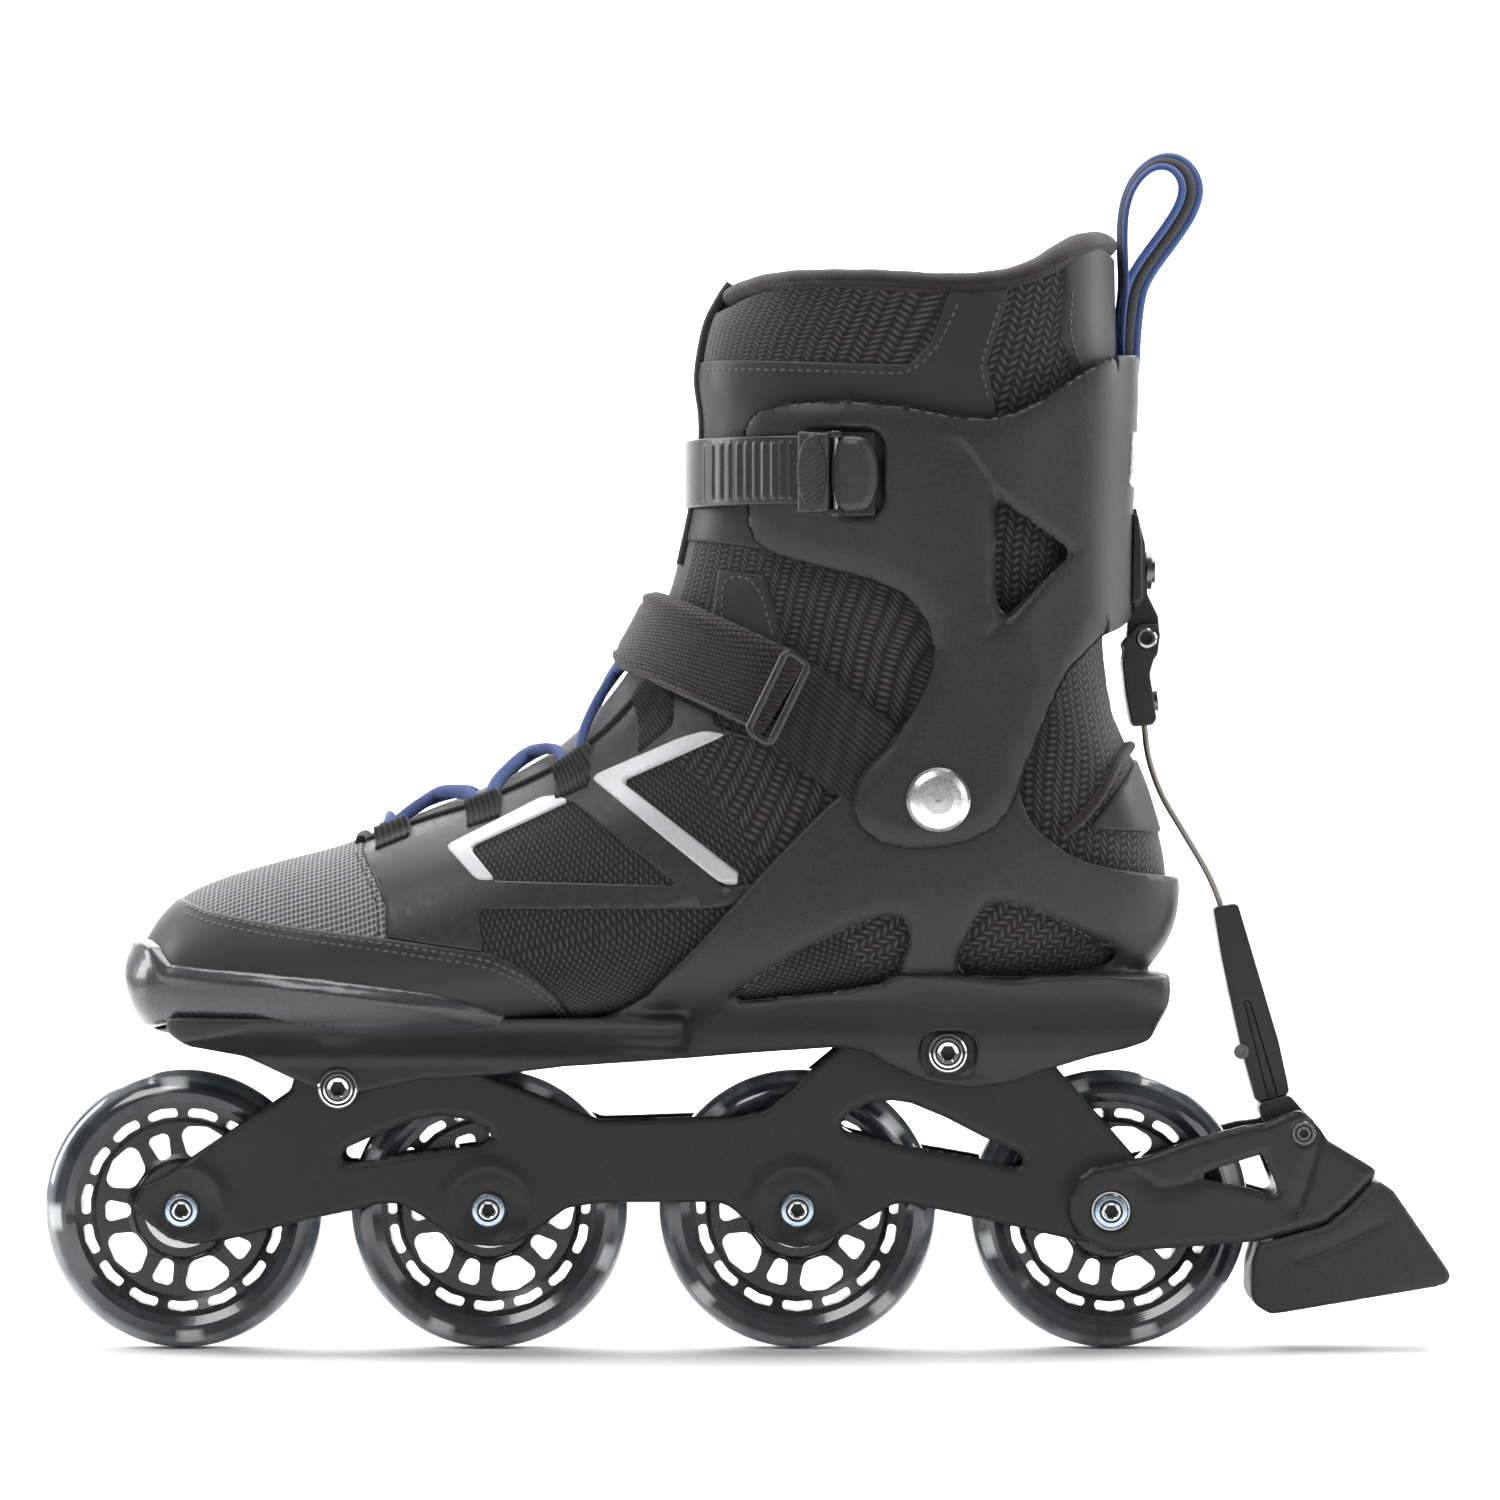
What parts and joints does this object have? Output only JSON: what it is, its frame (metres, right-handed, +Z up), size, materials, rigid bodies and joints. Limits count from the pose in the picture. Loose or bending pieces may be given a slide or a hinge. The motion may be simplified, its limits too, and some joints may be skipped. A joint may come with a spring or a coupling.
{
  "type": "inline skate",
  "caption": "Left-foot inline skate: soft boot in a plastic shell, hinged ladder-buckle cuff, in-line wheels in a plate frame, and a cuff-driven heel brake.",
  "frame": {"origin": "on the ground plane, under the middle of the wheelbase, in the wheels' mid-plane", "axes": "+X from toe to heel, +Y to the inner side of the left foot (away from the buckle), +Z up"},
  "size_m": [0.4038, 0.1122, 0.3435],
  "materials": {
    "tyre": "satin",
    "hub_plastic": "gloss",
    "steel": "satin",
    "frame_metal": "satin",
    "chrome": "polished",
    "satin_metal": "satin",
    "shell_plastic": "matte",
    "bumper": "satin",
    "brake_rubber": "matte",
    "brake_plastic": "satin",
    "black_metal": "satin",
    "rod_steel": "satin",
    "buckle_plastic": "satin",
    "strap_plastic": "satin",
    "badge": "satin",
    "boot_knit": "woven",
    "collar_knit": "knit",
    "insole_foam": "foam",
    "lace": "woven",
    "webbing": "woven",
    "strap_fabric": "woven",
    "loop_webbing": "woven"
  },
  "bodies": {
    "chassis": {"axle_screws": "steel", "axle_sleeves": "steel", "bearing_inner_rings": "steel", "bearing_spacers": "steel", "boot_upper": "boot_knit", "brake_arm_bushes": "steel", "cuff_rivets": "satin_metal", "frame_bridge_front": "frame_metal", "frame_bridge_rear": "frame_metal", "frame_plate_left": "frame_metal", "frame_plate_right": "frame_metal", "insole": "insole_foam", "instep_strap": "strap_fabric", "lace_loops": "webbing", "laces": "lace", "mount_bolts": "chrome", "shell": "shell_plastic", "strap_ring": "black_metal", "strap_webbing": "webbing", "toe_bumper": "bumper", "tongue": "boot_knit"},
    "wheel_1": {"wheel_1_tyre": "tyre", "wheel_1_hub": "hub_plastic", "wheel_1_bearings": "steel", "wheel_1_balls": "steel"},
    "wheel_2": {"wheel_2_tyre": "tyre", "wheel_2_hub": "hub_plastic", "wheel_2_bearings": "steel", "wheel_2_balls": "steel"},
    "wheel_3": {"wheel_3_tyre": "tyre", "wheel_3_hub": "hub_plastic", "wheel_3_bearings": "steel", "wheel_3_balls": "steel"},
    "wheel_4": {"wheel_4_tyre": "tyre", "wheel_4_hub": "hub_plastic", "wheel_4_bearings": "steel", "wheel_4_balls": "steel"},
    "cuff": {"cuff": "shell_plastic", "cuff_badge": "badge", "buckle_base": "shell_plastic", "buckle_pin": "steel", "ladder_strap": "strap_plastic", "strap_screw": "satin_metal", "brake_bracket": "brake_plastic", "bracket_screw": "black_metal", "boot_shaft": "boot_knit", "collar": "collar_knit", "pull_loop": "loop_webbing"},
    "brake_arm": {"brake_arm": "brake_plastic", "brake_pad": "brake_rubber", "pad_screw": "steel", "brake_lower_pin": "steel"},
    "brake_link": {"brake_clevis": "brake_plastic", "brake_sleeve": "brake_plastic", "brake_rod": "rod_steel", "brake_yoke": "brake_plastic", "brake_upper_pin": "steel", "link_clamp_screws": "black_metal"},
    "buckle_lever": {"buckle_lever": "buckle_plastic"},
    "buckle_release": {"buckle_release": "buckle_plastic"}
  },
  "joints": [
    {"name": "wheel_1_spin", "type": "hinge", "parent": "chassis", "child": "wheel_1", "pos_m": [-0.1333, 0, 0.04], "axis": [0, 1, 0], "continuous": true},
    {"name": "wheel_2_spin", "type": "hinge", "parent": "chassis", "child": "wheel_2", "pos_m": [-0.0452, 0, 0.04], "axis": [0, 1, 0], "continuous": true},
    {"name": "wheel_3_spin", "type": "hinge", "parent": "chassis", "child": "wheel_3", "pos_m": [0.0435, 0, 0.04], "axis": [0, 1, 0], "continuous": true},
    {"name": "wheel_4_spin", "type": "hinge", "parent": "chassis", "child": "wheel_4", "pos_m": [0.1333, 0, 0.04], "axis": [0, 1, 0], "continuous": true},
    {"name": "cuff_flex", "type": "hinge", "parent": "chassis", "child": "cuff", "pos_m": [0.0833, 0, 0.158], "axis": [0, 1, 0], "range_deg": [-8, 8.5], "stiffness_Nm_per_rad": 8},
    {"name": "brake_arm_swing", "type": "hinge", "parent": "chassis", "child": "brake_arm", "pos_m": [0.1333, 0, 0.04], "axis": [0, 1, 0], "range_deg": [-9.8, 10.4]},
    {"name": "brake_link_swing", "type": "hinge", "parent": "brake_arm", "child": "brake_link", "pos_m": [0.1886, 0, 0.0622], "axis": [0, 1, 0], "range_deg": [-9.3, 8.8]},
    {"name": "buckle_lever_lift", "type": "hinge", "parent": "cuff", "child": "buckle_lever", "pos_m": [0.0541, -0.0522, 0.2503], "axis": [0, 0, -1], "range_deg": [0, 75]},
    {"name": "buckle_release_press", "type": "hinge", "parent": "cuff", "child": "buckle_release", "pos_m": [0.0541, -0.0522, 0.2503], "axis": [0, 0, -1], "range_deg": [0, 7], "stiffness_Nm_per_rad": 0.05}
  ],
  "couplings": [
    {"joint": "brake_arm_swing", "follows": "cuff_flex", "ratio": 1.2},
    {"joint": "brake_link_swing", "follows": "cuff_flex", "ratio": -1.065}
  ]
}
